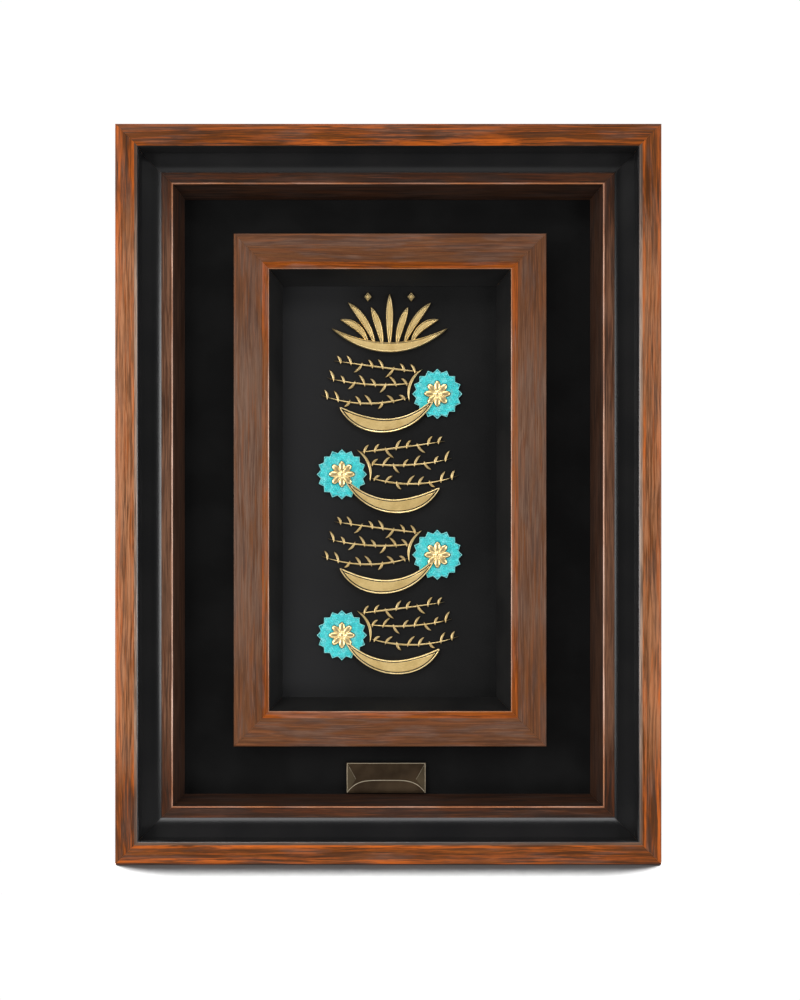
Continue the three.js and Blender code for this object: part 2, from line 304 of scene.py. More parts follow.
softbox("left", (-1.20, -0.95, 0.10), 1.0, 0.84, 19)
softbox("right", (1.25, -0.90, 0.05), 0.9, 0.84, 13)
softbox("above", (0.0, -0.75, 1.10), 1.2, 0.4, 4)
softbox("front", (-0.30, -0.98, 1.50), 1.2, 0.4, 9.5)
softbox("high", (-0.20, -1.25, 0.95), 1.4, 0.5, 1.1)
softbox("left_edge", (-1.30, -0.22, -0.03), 0.14, 0.55, 2.5, (1.0, 0.94, 0.94))
softbox("right_edge", (1.30, -0.22, -0.10), 0.14, 0.55, 3.0, (0.96, 0.96, 1.0))

side_reach = 3.0
front_reach = 0.18
tucked_in = 0.014
floor_gap = 0.0005
floor_back = cad_low.y + tucked_in
under = cad_low.z - floor_gap
foot = under - panel_middle
softbox("low", (0, -0.45, foot - 0.24), 0.9, 0.18, 1.75, aim=(0, -0.04, foot + 0.04))
floor_mesh = bpy.data.meshes.new("floor")
left_edge = [(-side_reach, -front_reach, under), (-side_reach, floor_back, under)]
right_edge = [(side_reach, floor_back, under), (side_reach, -front_reach, under)]
floor_mesh.from_pydata(left_edge + right_edge, [], [(0, 3, 2, 1)])
floor = in_scene("floor", floor_mesh)
floor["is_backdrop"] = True
floor.visible_diffuse = False
floor.visible_glossy = False
floor.visible_shadow = False
paint, place = new_paint("pale_floor")
speckle = paint.noise(place, scale=60).between(0.3, 0.7)
colour = paint.mix(speckle, (0.079, 0.079, 0.079, 1), (0.082, 0.082, 0.082, 1))
floor_mesh.materials.append(paint.finish(colour, 0.9))

steep_strength = 149
steep_spread = 15.6
steep_tilt = -8.8
steep = bpy.data.lights.new("over_floor", "SUN")
steep.energy = steep_strength
steep.angle = math.radians(steep_spread)
steep_lamp = in_scene("over_floor", steep)
steep_lamp.rotation_euler = (math.radians(steep_tilt), 0, 0)
floor_only = bpy.data.collections.new("floor_only")
floor_only.objects.link(floor)
steep_lamp.light_linking.receiver_collection = floor_only
print("floor at", round(under, 4))

# %% [markdown]
# ## Making a piece
#
# Each piece below is worked out as corners and faces, with a number on each face for its finish. Faces
# that meet at a gentle angle are shaded as one surface. A corner also carries two numbers that a finish
# can read: "mark", and the share of sheen painted into the wood's colour there as a highlight. Every
# piece rides on the root body and stands for its CAD nodes.


# %% Making a piece
class Shape:
    """Corners in millimetres, and faces with the number of their finish."""

    def __init__(self):
        self.corners = []
        self.faces = []
        self.finishes = []
        self.marks = []
        self.painted_sheens = []

    def corner(self, x, y, up, mark=0.0, painted_sheen=0.0):
        self.corners.append((x * MM, y * MM, up * MM))
        self.marks.append(mark)
        self.painted_sheens.append(painted_sheen)
        return len(self.corners) - 1

    def face(self, corners, finish=0):
        self.faces.append(tuple(corners))
        self.finishes.append(finish)

    def skin(self, rows, finishes):
        """Faces between rows of corners that follow each other, with a finish for each run of a row."""
        for first, second in zip(rows, rows[1:]):
            for i, finish in enumerate(finishes):
                self.face((first[i], first[i + 1], second[i + 1], second[i]), finish)

    def belts(self, rings, finishes):
        """Faces between closed rings of corners that follow each other, with a finish for each belt."""
        for first, second, finish in zip(rings, rings[1:], finishes):
            self.skin([first + first[:1], second + second[:1]], [finish] * len(first))


def make_piece(name, shape, materials, nodes, matrix=FRONT, crease=35):
    mesh = bpy.data.meshes.new(name)
    mesh.from_pydata(shape.corners, [], shape.faces)
    for material in materials:
        mesh.materials.append(material)
    mesh.polygons.foreach_set("material_index", shape.finishes)
    # The second number is the share of painted sheen, a highlight that the wood's colour carries.
    for number, values in (("mark", shape.marks), ("painted_sheen", shape.painted_sheens)):
        mesh.attributes.new(number, "FLOAT", "POINT").data.foreach_set("value", values)
    mesh.validate()
    mesh.shade_smooth()
    mesh.set_sharp_from_angle(angle=math.radians(crease))
    piece = in_scene(name, mesh)
    piece.matrix_world = matrix
    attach(piece, "root")
    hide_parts(*nodes)


# %% [markdown]
# ## Wood of the mouldings
#
# The rails are one kind of wood in two tones: warm and streaked on the outer band, duller on the inner
# frame. The grain runs along each rail, so every noise is stretched along x. A figure, paler streaks
# and fine fibres lie over each other, and orange flames glow through them, most of all along both edges
# of the band. Where the fibres would catch the side lights, a paler sheen is painted into the colour as
# a highlight: strongly on the left and right rails, hardly on the bottom one, not on the top one, and on
# the band only on its front face. The "mark" shifts the pattern, as each rail was cut from another
# stretch of moulding.


# %% Wood
def wood(name, tones, glow_amount, roughness, glow_edges=(), face_up=0, gloss=0.16):
    """Wood with its grain along x. tones are its dark, middle and streak colours, its glow, and the
    sheen that is painted in as a highlight. glow_edges are (middle, half width, share) of zones across
    the rail, in mm, above face_up.
    """
    dark, mid, streak_tone, glow, sheen = [tone(*shown) for shown in tones]
    paint, place = new_paint(name)
    cut = paint.add("Attribute", {"attribute_name": "mark"}, output="Fac")
    painted_sheen = paint.add("Attribute", {"attribute_name": "painted_sheen"}, output="Fac")
    grain = place.moved(paint.add("CombineXYZ", values={0: cut, 1: cut * 0.13, 2: 0.0}))
    wander = (paint.noise(grain.stretched(9, 40, 40), detail=1) - 0.5) * 0.005
    grain = grain.moved(paint.add("CombineXYZ", values={0: 0.0, 1: wander, 2: wander}))

    def along(length, width, shift=(0, 0, 0), detail=5, roughness=0.65, distortion=0.0):
        """Noise drawn out along the grain."""
        drawn = grain.stretched(length, width, width).moved(shift)
        return paint.noise(drawn, detail=detail, roughness=roughness, distortion=distortion)

    figure = along(14, 390, detail=6, distortion=0.2)
    streak = along(22, 700, (4.1, 1.7, 0.3))
    fibre = along(48, 1150, detail=4)
    flame = along(14, 430, (9.3, 5.2, 2.2))
    _, across, up = paint.axes(place)
    on_face = up.between((face_up - 1) * MM, face_up * MM)
    facing = on_face * 0.75 + 0.25
    colour = paint.mix(figure.between(0.36, 0.62), dark, mid)
    colour = paint.mix(streak.between(0.52, 0.66) * 0.8, colour, streak_tone)
    colour = paint.mix(fibre.between(0.62, 0.74) * 0.15, colour, sheen)
    grey = along(22, 130, (7.7, 2.9, 5.1), 4, 0.5).between(0.44, 0.62)
    colour = paint.add("HueSaturation", values={"Saturation": 1.1 - grey * 0.22, "Color": colour})
    patch = along(13, 90, (2.2, 8.1, 1.1), 3, 0.5).between(0.42, 0.66)
    # Patches of the paler sheen: a little on every rail as the wood's own tone, more on the front of the
    # side rails as a painted highlight.
    colour = paint.mix(patch * (0.06 + painted_sheen * facing * 0.40), colour, sheen)
    amount = flame.between(0.50, 0.62) * glow_amount
    warm = along(9, 30, (6.4, 3.3, 7.0), 2, 0.5).between(0.40, 0.58)
    face = on_face * (warm * 0.75 + 0.25)
    for middle_mm, half_mm, share_of in glow_edges:
        away = (across - middle_mm * MM).absolute()
        zone = (1 - away.between(half_mm * 0.35 * MM, half_mm * MM)) * face * share_of
        amount = amount + zone * (flame + streak).between(0.86, 1.04)
    colour = paint.mix(paint.add("Clamp", values={0: amount}), colour, glow)
    dark_fibre = (1 - fibre.between(0.36, 0.50)) * 0.5
    colour = paint.mix(dark_fibre, colour, dark)
    # The painted sheen: a highlight of the side lights, painted into the colour of the side rails.
    colour = paint.mix(painted_sheen * facing * (0.12 + streak.between(0.42, 0.64) * 0.70), colour, sheen)
    bump = paint.bump(fibre, 0.15 * MM, 0.6)
    rough = roughness + (1 - fibre) * 0.14
    return paint.finish(colour, rough, bump, Specular_IOR_Level=gloss)


band_tones = [(58, 32, 15), (90, 49, 22), (117, 66, 31), (182, 88, 20), (169, 114, 78)]
lip_tones = [(32, 17, 8), (56, 30, 15), (80, 45, 24), (92, 44, 17), (120, 83, 61)]
wall_tones = [(26, 16, 11), (48, 30, 20), (58, 36, 24), (64, 32, 15), (68, 46, 34)]
# The top rail's wall is painted paler than the others: painted light from below.
painted_light_wall_tones = [(31, 20, 14), (57, 37, 26), (68, 44, 31), (74, 39, 20), (78, 54, 41)]
inner_tones = [(72, 45, 30), (96, 62, 41), (112, 76, 54), (122, 67, 32), (110, 85, 70)]
inner_glow_tones = [(86, 44, 20), (130, 69, 32), (146, 84, 44), (168, 82, 30), (120, 82, 56)]
bright_tones = [(120, 76, 52), (166, 114, 84), (180, 132, 104), (156, 90, 52), (226, 190, 170)]
# The pale edge is partly real wear and partly a painted highlight; the top rail, whose roll faces down,
# gets band wood there instead, as painted shade.
rubbed_and_highlit_tones = [(58, 41, 30), (82, 60, 45), (98, 72, 54), (110, 66, 38), (176, 144, 122)]
raw_tones = [(140, 104, 68), (186, 148, 104), (204, 170, 126), (180, 132, 84), (196, 158, 112)]
band_top = 53
band_wood = wood("band_wood", band_tones, 0.38, 0.45, [(2.0, 5.0, 0.65), (17.5, 4.5, 0.75)], band_top)
lip_wood = wood("lip_wood", lip_tones, 0.4, 0.5)
wall_wood = wood("wall_wood", wall_tones, 0.4, 0.6)
painted_light_wall_wood = wood("painted_light_wall_wood", painted_light_wall_tones, 0.4, 0.6)
inner_wood = wood("inner_wood", inner_tones, 0.4, 0.5)
inner_glow = wood("inner_glow", inner_glow_tones, 0.5, 0.45)
bright_edge = wood("bright_edge", bright_tones, 0.3, 0.35)
rubbed_and_highlit_edge = wood("rubbed_and_highlit_edge", rubbed_and_highlit_tones, 0.3, 0.3, gloss=0.5)
raw_wood = wood("raw_wood", raw_tones, 0.3, 0.8)

# %% [markdown]
# ## Black finishes
#
# The hollow of the moulding is lacquered: nearly black, smooth, with a soft shine along its curves. The
# board and the sides of the recess are matt. Real black paint still varies a little, with faint
# clouding and dust. On the top rails the black is painted paler, as painted light from below: all over
# on the outer rail's steep side, and towards the foot of the inner frame's slope.


# %% Black lacquer and matt black
def black_finish(name, deep, hazy, roughness, spread, grit, gloss=0.5, painted_foot_light=0.0):
    """Black paint. The last argument paints the foot of a rail's slope paler, as painted light from below,
    from 0 to 1.
    """
    slope_foot, slope_head = 2 * MM, 24 * MM
    deep, hazy = tone(*deep), tone(*hazy)
    paint, place = new_paint(name)
    cloud = paint.noise(place, scale=24, detail=3)
    speck = paint.noise(place, scale=1800, detail=2)
    colour = paint.mix(cloud.between(0.35, 0.65) * 0.6 + speck.between(0.62, 0.75) * 0.4, deep, hazy)
    # Painted light from below: the foot of the slope is painted paler.
    if painted_foot_light:
        _, _, up = paint.axes(place)
        low_down = 1 - up.between(slope_foot, slope_head)
        colour = paint.mix(low_down * painted_foot_light, colour, tone(44, 44, 44))
    rough = roughness + cloud * spread
    bump = paint.bump(speck, grit * MM, 0.4)
    return paint.finish(colour, rough, bump, Specular_IOR_Level=gloss)


lacquer = black_finish("black_lacquer", (16, 16, 17), (23, 22, 22), 0.21, 0.08, 0.01, 0.65)
# A paler lacquer for the top rail's steep side: painted light from below.
painted_light_lacquer = black_finish("painted_light_lacquer", (30, 30, 30), (38, 37, 37), 0.21, 0.08, 0.01, 0.65)
recess_black = black_finish("recess_black", (15, 15, 15), (25, 24, 23), 0.5, 0.2, 0.04, 0.2)
# Matt black with a paler foot for the inner frame's top slope: painted light from below.
painted_light_black = black_finish("painted_light_black", (17, 17, 17), (26, 25, 25), 0.5, 0.2, 0.04, 0.2, painted_foot_light=0.5)

# %% [markdown]
# ## Mouldings
#
# A moulding is one section run along a length of wood, and a frame is four lengths cut at 45 degrees.
# So the section is drawn once, as an outline with a finish on each run. A corner that lies further in
# makes its rail shorter by as much, which is the mitre. The outer section, drawn from its back round by
# the inside, has a sloped wall, a narrow lip, a lacquered hollow, a steep side and a crowned band, whose
# inner roll is rubbed pale and carries a painted highlight. The top rail has finishes of its own: its
# roll is matt and has no pale edge, as painted shade where it faces down, and its wall and steep side
# are painted paler, as painted light from below.


# %% Sections
class Section:
    """An outline of (in, up) points in mm, with a finish on each run between two of them."""

    def __init__(self, start):
        self.points = [start]
        self.finishes = []

    def line(self, finish, *ends):
        for end in ends:
            self.points.append(end)
            self.finishes.append(finish)

    def bend(self, finish, pull, end, steps=8):
        """A run that leaves towards the pull point and arrives at the end from it."""
        start = self.points[-1]
        for i in range(1, steps + 1):
            t = i / steps
            mixed = [(1 - t) ** 2 * a + 2 * t * (1 - t) * b + t**2 * c for a, b, c in zip(start, pull, end)]
            self.line(finish, tuple(mixed))


def rail_shape(section, length, cut, painted_sheen):
    """One rail, from the middle of its outer back edge: x along, y in towards the panel's middle.
    Rings inside its length let the painted sheen of a rail fade towards the corners.
    """
    hairline = 0.06
    sheen_starts = 60
    sheen_full = 130
    left_half = [(-1, 0), (-1, sheen_starts), (-1, sheen_full)]
    right_half = [(1, sheen_full), (1, sheen_starts), (1, 0)]
    shape = Shape()
    rings = []
    for end, back_off in left_half + right_half:
        sheen = painted_sheen if back_off == sheen_full else 0.0
        ring = []
        for inward, up in section.points:
            x = end * (length / 2 - (back_off or inward + hairline))
            ring.append(shape.corner(x, inward, up, cut, sheen))
        rings.append(ring)
    shape.skin(rings[::-1], section.finishes)
    shape.face(rings[0])
    shape.face(rings[-1][::-1])
    return shape


# How much painted sheen, a highlight of the side lights, each rail's colour carries.
painted_sheen_by_side = {"bottom": 0.04, "right": 0.8, "top": 0.0, "left": 1.0}
pattern_step = 1.7


def mitred_frame(kind, section, finishes, top_finishes):
    """Four rails. The size and place of the frame come from its solids."""
    low, high = box_in_front(f"{kind}_rail_bottom")
    top = box_in_front(f"{kind}_rail_top")[1].y
    width = high.x - low.x
    height = top - low.y
    middle = shifted(FRONT, (low.x + high.x) / 2, (low.y + top) / 2, low.z)
    for turns, side in enumerate(painted_sheen_by_side):
        length, span = (width, height) if turns % 2 == 0 else (height, width)
        turn = Matrix.Rotation(turns * math.pi / 2, 4, "Z")
        matrix = shifted(middle @ turn, 0, -span / 2)
        rail = rail_shape(section, length, cut=pattern_step * turns + low.z, painted_sheen=painted_sheen_by_side[side])
        own = top_finishes if side == "top" else finishes
        node = f"{kind}_rail_{side}"
        make_piece(f"{kind}_moulding_{side}", rail, own, [node], matrix, crease=28)
    print(kind, "frame in mm:", round(width, 1), round(height, 1), "at", round(low.z, 1))


RAW, BAND, LACQUER, LIP, WALL, EDGE, RUBBED_HIGHLIT, STEEP, ROLL = range(9)
outer = Section((0, 0))
outer.line(RAW, (50, 0), (50, 10), (56.6, 10))
outer.line(WALL, (56.6, 10.8), (48.7, 34.5))
outer.bend(EDGE, (48.6, 35.5), (47.6, 35.5))
outer.line(LIP, (39.6, 36))
outer.bend(LIP, (38.9, 36), (38.6, 35.6), 4)
outer.line(LACQUER, (38.4, 32.3))
outer.bend(LACQUER, (33.7, 31.0), (28, 31.85), 20)
outer.line(LACQUER, (20.9, 32.9))
outer.line(STEEP, (20.9, 49.4), (20.9, 50.2))
outer.bend(ROLL, (20.9, 52.3), (19.5, 53.35), 8)
outer.bend(RUBBED_HIGHLIT, (18.7, 53.95), (17.0, 54.32), 6)
outer.bend(BAND, (10.25, 55.6), (3.5, 54.4))
outer.bend(BAND, (0, 54.4), (0, 51))
outer.line(BAND, (0, 0))
shared = [raw_wood, band_wood, lacquer, lip_wood]
finishes = shared + [wall_wood, bright_edge, rubbed_and_highlit_edge, lacquer, lacquer]
# The top rail's finishes hold painted light and shade: a paler wall and steep side, and a matt roll without
# the pale edge.
top_finishes = shared + [painted_light_wall_wood, bright_edge, band_wood, painted_light_lacquer, recess_black]
mitred_frame("outer", outer, finishes, top_finishes)

FACE, GLOW, SLOPE, ARRIS = 1, 2, 3, 4
inner = Section((0, 0))
inner.line(RAW, (34, 0), (34, 3.3), (42.2, 3.3))
inner.line(SLOPE, (42.2, 4.1), (31.2, 25.6))
inner.bend(ARRIS, (31.1, 26.4), (30.4, 26.5), 4)
inner.line(GLOW, (25.2, 28))
inner.line(FACE, (1.3, 28))
inner.bend(FACE, (0.1, 27.9), (0, 26.7), 4)
inner.line(FACE, (0, 0))
finishes = [raw_wood, inner_wood, inner_glow, recess_black, bright_edge]
# On the top rail the slope's foot is painted paler: painted light from below.
top_finishes = [raw_wood, inner_wood, inner_glow, painted_light_black, bright_edge]
mitred_frame("inner", inner, finishes, top_finishes)

# %% [markdown]
# ## Board and field
#
# Both are flat sheets, and the CAD solids have that shape already, so they stay and only get a finish.
# The board is hardboard: black in front and bare brown behind. The mask for that reads how deep a point
# lies. The black field is painted paler towards its left edge, as painted light that fades out near its
# middle.


# %% Board and field
def refinish(node, material):
    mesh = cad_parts[node].data
    mesh.materials.clear()
    mesh.materials.append(material)


turn_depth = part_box("backing_board")[1].y - 0.5 * MM
paint, place = new_paint("black_hardboard")
_, depth, _ = paint.axes(place)
behind = depth.between(turn_depth - 0.2 * MM, turn_depth)
fleck = paint.noise(place.stretched(900, 900, 900), detail=4)
cloud = paint.noise(place, scale=20, detail=3)
black = paint.mix(cloud.between(0.35, 0.65), tone(11, 11, 11), tone(17, 17, 17))
brown = paint.mix(fleck.between(0.35, 0.65), tone(88, 58, 38), tone(128, 90, 60))
brown = paint.mix(cloud.between(0.4, 0.7) * 0.3, brown, tone(104, 70, 48))
colour = paint.mix(behind, black, brown)
rough = 0.8 + fleck * 0.1
bump = paint.bump(fleck, 0.1 * MM, 0.5)
hardboard = paint.finish(colour, rough, bump, Specular_IOR_Level=0.09)
refinish("backing_board", hardboard)

# Painted light: the field is painted paler towards its left edge.
painted_light_full = -0.10
painted_light_end = 0.01
paint, place = new_paint("black_field")
fleck = paint.noise(place, scale=1500, detail=2)
cloud = paint.noise(place, scale=15, detail=2)
dust = cloud.between(0.3, 0.7) * 0.5 + fleck.between(0.4, 0.7) * 0.5
colour = paint.mix(dust, tone(16, 16, 16), tone(27, 27, 27))
across, _, _ = paint.axes(place)
painted_light_left = (1 - across.between(painted_light_full, painted_light_end)) * 0.52
colour = paint.mix(painted_light_left, colour, tone(44, 44, 45))
rough = 0.55 + cloud * 0.2
bump = paint.bump(fleck, 0.05 * MM, 0.5)
field_black = paint.finish(colour, rough, bump, Specular_IOR_Level=0.08)
refinish("inner_field", field_black)

# %% [markdown]
# ## Gold
#
# The relief is gold-plated sheet. The broad strokes have a brushed field, dulled by its fine lines, and
# a polished rim, with a blackened groove between them. The fine strokes are a little worn and darker.


# %% Gold
def gold(name, shade, bright, roughness, lines, metallic=1.0):
    paint, place = new_paint(name)
    brushed = paint.noise(place.stretched(350, 2600, 350).moved((0.3, 0.1, 0.7)), detail=4, roughness=0.7)
    tarnish = paint.noise(place, scale=90, detail=4, roughness=0.6)
    colour = paint.mix(tarnish.between(0.35, 0.7) * 0.6 + brushed.between(0.35, 0.65) * 0.4, bright, shade)
    rough = roughness + (brushed - 0.5) * lines + tarnish * 0.08
    bump = paint.bump(brushed, 0.05 * MM, lines)
    return paint.finish(colour, rough, bump, Metallic=metallic)


brushed_gold = gold("brushed_gold", (0.58, 0.40, 0.15, 1), (0.79, 0.59, 0.26, 1), 0.50, 0.4, 0.8)
polished_gold = gold("polished_gold", (0.72, 0.52, 0.21, 1), (0.88, 0.69, 0.36, 1), 0.32, 0.15, 0.9)
worn_gold = gold("worn_gold", (0.54, 0.38, 0.15, 1), (0.73, 0.56, 0.28, 1), 0.38, 0.2, 0.9)
blackened = black_finish("blackened_groove", (12, 9, 6), (30, 22, 12), 0.5, 0.2, 0.03)

# %% [markdown]
# ## Strokes
#
# A pen stroke is a curve with a width that swells and fades. The relief strokes are cut from sheet with
# worked edges, so each is a section carried along the curve: distances from the middle line, with
# heights, for the half width at that place. Where the stroke gets narrow its inner corners close on the
# middle line, so rim and field run together into a point.


# %% Curves and strokes
def bernstein(points):
    """A Bezier curve through its pull points, as a function from 0..1 to a place."""
    order = len(points) - 1

    def at(t):
        shares = [math.comb(order, i) * t**i * (1 - t) ** (order - i) for i in range(order + 1)]
        return Vector(sum(s * p[axis] for s, p in zip(shares, points)) for axis in (0, 1))

    return at


def bowed(start, end, bow):
    """A curve whose middle stands off the straight line to the left of its way."""
    start, end = Vector(start), Vector(end)
    along = (end - start).normalized()
    pull = (start + end) / 2 + Vector((-along.y, along.x)) * 2 * bow
    return bernstein([start, pull, end])


def half_width(t, width, peak):
    rise = t / peak if t < peak else (1 - t) / (1 - peak)
    return width / 2 * math.sin(max(rise, 0) * math.pi / 2) ** 0.7


def run_stroke(shape, curve, width, peak, across, stations, finish_of, ground=None):
    """Carries a section along a curve. across(half, t) gives its (distance, height) pairs, edge to edge."""
    tip = 1e-4
    step = 1e-3
    rows = []
    for i in range(stations + 1):
        t = min(max(i / stations, tip), 1 - tip)
        place = curve(t)
        ahead = (curve(min(t + step, 1)) - curve(max(t - step, 0))).normalized()
        left = Vector((-ahead.y, ahead.x))
        half = half_width(t, width, peak)
        row = []
        for distance, up in across(half, t):
            point = place + left * distance
            low = ground(point) if ground else 0.0
            row.append(shape.corner(point.x, point.y, max(up, low), mark=t))
        rows.append(row)
    shape.skin([row + row[:1] for row in rows], finish_of + finish_of[:1])
    shape.face(rows[0], finish_of[0])
    shape.face(rows[-1][::-1], finish_of[0])


def section_of(half, rim, inner_part):
    """A whole section. The rim is measured in from the edge, and the rest out from the middle line."""
    side = [(max(half - inset, 0), up) for inset, up in rim] + inner_part
    return side + [(-distance, up) for distance, up in reversed(side[:-1])]


# %% [markdown]
# ## Relief base and rows
#
# The relief lies on the field. Its base height and the middles of the stars come from the solids. A
# row's other places are measured from its star: "away" runs from it towards the far end of the row.

# %% Relief places
star_count = 4
star_box = box_in_front("star_1")
relief_base = star_box[0].z
star_radius = (star_box[1].x - star_box[0].x) / 2
field_low, field_high = box_in_front("inner_field")
field_centre = (field_low + field_high) / 2
star_up = 2.2
over_star = star_up + 0.05
covered = 0.96
sweep_up = 4.2
RELIEF = shifted(FRONT, field_centre.x, field_centre.y, relief_base)


class Row:
    """The place of one star and a function for the places of its row."""

    def __init__(self, number):
        low, high = box_in_front(f"star_{number}")
        self.star = ((low + high) / 2 - field_centre).xy
        self.side = 1 if self.star.x > 0 else -1
        self.number = number

    def at(self, away, rise):
        return Vector((self.star.x - self.side * away, self.star.y + rise))

    def ground(self, point):
        """The height that the gold stands on: the star where it lies over the star, else the field."""
        inside = (point - self.star).length < star_radius * covered
        return over_star if inside else 0.0


rows = [Row(number) for number in range(1, star_count + 1)]
for row in rows:
    print("star", row.number, "at", [round(c, 1) for c in row.star], "radius", round(star_radius, 2))

# %% [markdown]
# ## Stars
#
# Each star is a turquoise plate with a low rim, rubbed paler, and its middle is filled with chips set
# close. The chips are real shapes: points are strewn on a loose grid, and each chip is the area nearest
# to its point, cut out of a square by the lines half way to its neighbours. They are set a little
# apart, with bevelled edges and a slight tilt.

# %% Turquoise
paint, place = new_paint("turquoise")
chip = paint.add("Attribute", {"attribute_name": "mark"}, output="Fac")
vein = paint.noise(place, scale=700, detail=4, roughness=0.65, distortion=0.6)
cloud = paint.noise(place, scale=260, detail=3)
colour = paint.mix(chip, (0.018, 0.47, 0.50, 1), (0.055, 0.68, 0.69, 1))
colour = paint.mix(cloud.between(0.46, 0.70) * 0.6, colour, (0.26, 0.76, 0.77, 1))
thin = 1 - (vein - 0.5).absolute().between(0.0, 0.035)
colour = paint.mix(thin * 0.45, colour, (0.26, 0.66, 0.62, 1))
rough = 0.30 + vein * 0.2
turquoise = paint.finish(colour, rough, Coat_Weight=0.3, Coat_Roughness=0.15)

half_mask = (0.35, 0.65)
pale_blue, paler = (0.06, 0.50, 0.52, 1), (0.40, 0.80, 0.76, 1)
deep_blue, dull_blue = (0.005, 0.16, 0.20, 1), (0.03, 0.33, 0.37, 1)
rim_finish = speckled("turquoise_rim", pale_blue, paler, 1100, 4, 0.65, half_mask, (0.35, 0.15))
grout = speckled("turquoise_grout", deep_blue, dull_blue, 1500, 3, 0.5, half_mask, (0.75, 0.1))
star_finishes = [rim_finish, turquoise, grout]


# %% Star shapes
SQUARE = [(-1, -1), (1, -1), (1, 1), (-1, 1)]
star_points = 16
star_notch = 0.86
rim_width = 0.8
rim_up = 1.75
RIM, CHIP, GROUT = range(3)


def star_edge(radius, angle):
    """The distance of the star's outline at an angle: straight from each point to the next notch."""
    half_turn = math.pi / star_points
    within = abs((angle / half_turn) % 2 - 1)
    notch = radius * star_notch
    dx = radius * math.cos(half_turn) - notch
    dy = radius * math.sin(half_turn)
    bearing = within * half_turn
    return notch * dy / (math.cos(bearing) * dy - math.sin(bearing) * dx)


def ring(shape, radius, up, steps):
    corners = []
    for i in range(steps):
        angle = i / steps * 2 * math.pi
        edge = star_edge(radius, angle)
        corners.append(shape.corner(edge * math.cos(angle), edge * math.sin(angle), up))
    return corners


def cell_round(point, others, reach):
    """The area nearer to a point than to any other, as a list of corners."""
    cell = [point + Vector(corner) * reach for corner in SQUARE]
    for other in others:
        normal = other - point
        if normal.length > 2.9 * reach:
            continue
        halfway = (other + point) / 2
        kept = []
        for a, b in zip(cell, cell[1:] + cell[:1]):
            da, db = (a - halfway).dot(normal), (b - halfway).dot(normal)
            if da <= 0:
                kept.append(a)
            if da * db < 0:
                kept.append(a + (b - a) * (da / (da - db)))
        cell = kept
    return cell


def set_chips(shape, radius, dice):
    pitch = 1.9
    scatter = 0.36
    row_pitch = 0.9
    tilt = 0.05
    bevel = [(0.07, None), (0.09, 0.16), (0.24, 0.0)]

    def loose(reach):
        return Vector((dice.uniform(-reach, reach), dice.uniform(-reach, reach)))

    points = []
    steps = int(radius / pitch) + 1
    for i in range(-steps, steps + 1):
        for j in range(-steps, steps + 1):
            point = (Vector((i + 0.5 * (j % 2), j * row_pitch)) + loose(scatter)) * pitch
            if point.length < star_edge(radius, math.atan2(point.y, point.x)) - 0.25 * pitch:
                points.append(point)
    for point in points:
        near = [p for p in points if p is not point and (p - point).length < 3.2 * pitch]
        cell = cell_round(point, near, 0.9 * pitch)
        lean = loose(tilt)
        colour = dice.random()
        top = star_up - 0.18 + 0.1 * dice.random()
        rings = [[], [], []]
        for corner in cell:
            edge = star_edge(radius, math.atan2(corner.y, corner.x))
            if corner.length > edge:
                corner = corner * (edge / corner.length)
            inward = (point - corner).normalized()
            for level, (inset, drop) in enumerate(bevel):
                place = corner + inward * inset
                up = rim_up - 0.9 if drop is None else top - drop + lean.dot(place - point)
                rings[level].append(shape.corner(place.x, place.y, min(up, star_up), colour))
        shape.belts(rings, [CHIP] * 2)
        shape.face(rings[2], CHIP)
    return len(points)


dice = random.Random(7)
for row in rows:
    shape = Shape()
    sides = star_points * 2 * 3
    rim = [(0, 0), (0, rim_up - 0.35), (0.35, rim_up), (rim_width, rim_up), (rim_width + 0.1, rim_up - 0.7)]
    rings = [ring(shape, star_radius - inset, up, sides) for inset, up in rim]
    shape.belts(rings, [RIM] * 4)
    shape.face(rings[-1], GROUT)
    shape.face(rings[0][::-1], RIM)
    chips = set_chips(shape, star_radius - rim_width - 0.1, dice)
    name = f"star_mosaic_{row.number}"
    make_piece(name, shape, star_finishes, [f"star_{row.number}"], shifted(RELIEF, *row.star))
print("chips in the last star:", chips)

# %% [markdown]
# ## Broad sweeps with their flowers
#
# The stroke that leaves each star is a bowed leaf. From its edge inwards it has a rounded rim, a
# blackened groove and a slightly crowned, brushed field. The groove is bridged every few millimetres,
# so it reads as a dashed line, and the field stops short of the thick end, which leaves a dark eye
# there. Over its star the stroke ends in an eight-petalled flower.

# %% Sweeps
GOLD_FIELD, GOLD_RIM, BLACK = range(3)
sweep_route = [(2, -3), (22, -33), (62, -38), (88, -12)]
sweep_width = 12.5
sweep_peak = 0.66
sweep_rim = 1.15
groove = 0.85
rim_height = 3.6
groove_height = 1.6
bridge_pitch = 0.072
bridge_share = 0.16
first_groove = 0.34
field_end = 0.955
flower_radius = 12.0
flower_waist = 7.5
flower_up = 4.6


def share(value, low, high):
    """0 below low, 1 above high, and a straight run between."""
    return min(max((value - low) / (high - low), 0), 1)


